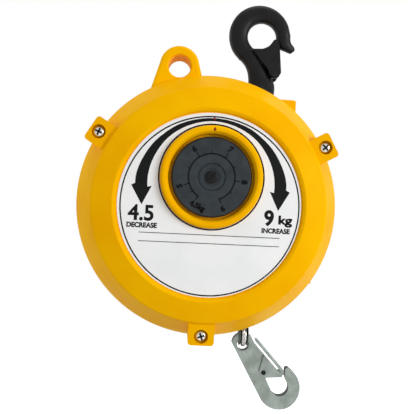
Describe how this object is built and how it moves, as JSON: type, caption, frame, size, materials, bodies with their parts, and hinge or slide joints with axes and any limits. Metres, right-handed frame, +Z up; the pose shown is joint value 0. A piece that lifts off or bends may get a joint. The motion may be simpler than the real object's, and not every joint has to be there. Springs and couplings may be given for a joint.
{
  "type": "spring tool balancer",
  "caption": "Round spring balancer with a swivel top hook, a front load dial, a safety lug and a wire rope that ends in a snap hook.",
  "frame": {"origin": "centre of the top hook's bowl", "axes": "+Z up along the load line, -Y towards the dial, +X to the right seen from the dial"},
  "size_m": [0.2, 0.099, 0.3305],
  "materials": {
    "yellow_paint": "gloss enamel on die-cast aluminium",
    "label_film": "printed film",
    "dial_plastic": "moulded, fine texture",
    "gear_plastic": "moulded acetal",
    "zinc_steel": "zinc plated",
    "bright_steel": "nickel plated",
    "forged_black": "black oxide and paint on forged steel",
    "machined_steel": "turned",
    "spring_steel": "blued strip",
    "cast_aluminium": "as cast and turned",
    "bronze": "sintered bushes",
    "wire_rope": "stranded",
    "black_rubber": "moulded"
  },
  "bodies": {
    "hanger": {"hanger_hook": "forged_black", "latch_pin": "zinc_steel", "hanger_washer": "zinc_steel", "hanger_nut": "zinc_steel", "split_pin": "zinc_steel"},
    "latch": {"hook_latch": "forged_black"},
    "case": {"front_cover": "yellow_paint", "rear_case": "yellow_paint", "case_screws": "bright_steel", "label_plate": "label_film", "main_shaft": "machined_steel", "shaft_nut": "zinc_steel", "worm_bushes": "bronze", "hanger_bush": "bronze", "rope_guide": "dial_plastic", "rope_lead": "wire_rope"},
    "dial": {"load_dial": "dial_plastic", "dial_screw": "zinc_steel", "dial_gear": "gear_plastic"},
    "drum": {"rope_drum": "cast_aluminium", "rope_winding": "wire_rope", "drum_bush": "bronze"},
    "tension": {"spring_case": "machined_steel", "spring_lid": "machined_steel", "power_spring": "spring_steel", "worm_wheel": "cast_aluminium", "dial_pinion": "gear_plastic"},
    "worm": {"worm": "machined_steel"},
    "load_line": {"rope_run": "wire_rope", "rope_ferrule": "cast_aluminium", "rope_stopper": "black_rubber", "rope_eye": "wire_rope", "rope_thimble": "zinc_steel"},
    "load_hook": {"load_hook": "zinc_steel", "gate_pin": "forged_black"},
    "gate": {"hook_gate": "zinc_steel"}
  },
  "joints": [
    {"name": "hook_swivel", "type": "hinge", "parent": "hanger", "child": "case", "pos_m": [0, 0, -0.06], "axis": [0, 0, 1], "continuous": true},
    {"name": "latch_turn", "type": "hinge", "parent": "hanger", "child": "latch", "pos_m": [0.0102, 0, -0.0311], "axis": [0, 1, 0], "range_deg": [-36, 0], "stiffness_Nm_per_rad": 0.01, "springref_deg": 28.65},
    {"name": "drum_spin", "type": "hinge", "parent": "case", "child": "drum", "pos_m": [-0.0375, 0, -0.141], "axis": [0, 1, 0], "range_deg": [0, 1778], "stiffness_Nm_per_rad": 0.0187, "springref_deg": -7620.34},
    {"name": "load_travel", "type": "slide", "parent": "case", "child": "load_line", "axis": [0, 0, -1], "range_m": [0, 1.301], "deforming": ["rope_run"]},
    {"name": "tension_turn", "type": "hinge", "parent": "case", "child": "tension", "pos_m": [-0.0375, 0, -0.141], "axis": [0, 1, 0], "range_deg": [-555, 555]},
    {"name": "worm_spin", "type": "hinge", "parent": "case", "child": "worm", "pos_m": [0.0409, -0.015, -0.141], "axis": [0, 0, 1], "range_deg": [-31100, 31100]},
    {"name": "dial_turn", "type": "hinge", "parent": "case", "child": "dial", "pos_m": [-0.0375, 0, -0.121], "axis": [0, 1, 0], "range_deg": [-152, 152]},
    {"name": "load_hook_swing", "type": "hinge", "parent": "load_line", "child": "load_hook", "pos_m": [0, 0, -0.2527], "axis": [0, 1, 0], "range_deg": [-20, 90]},
    {"name": "gate_turn", "type": "hinge", "parent": "load_hook", "child": "gate", "pos_m": [0.01821, 0, -0.27446], "axis": [0, 1, 0], "range_deg": [0, 40], "stiffness_Nm_per_rad": 0.01, "springref_deg": -28.65}
  ],
  "couplings": [
    {"joint": "load_travel", "follows": "drum_spin", "m_per_rad": 0.0419},
    {"joint": "worm_spin", "follows": "tension_turn", "ratio": 56},
    {"joint": "dial_turn", "follows": "tension_turn", "ratio": -0.27273}
  ]
}
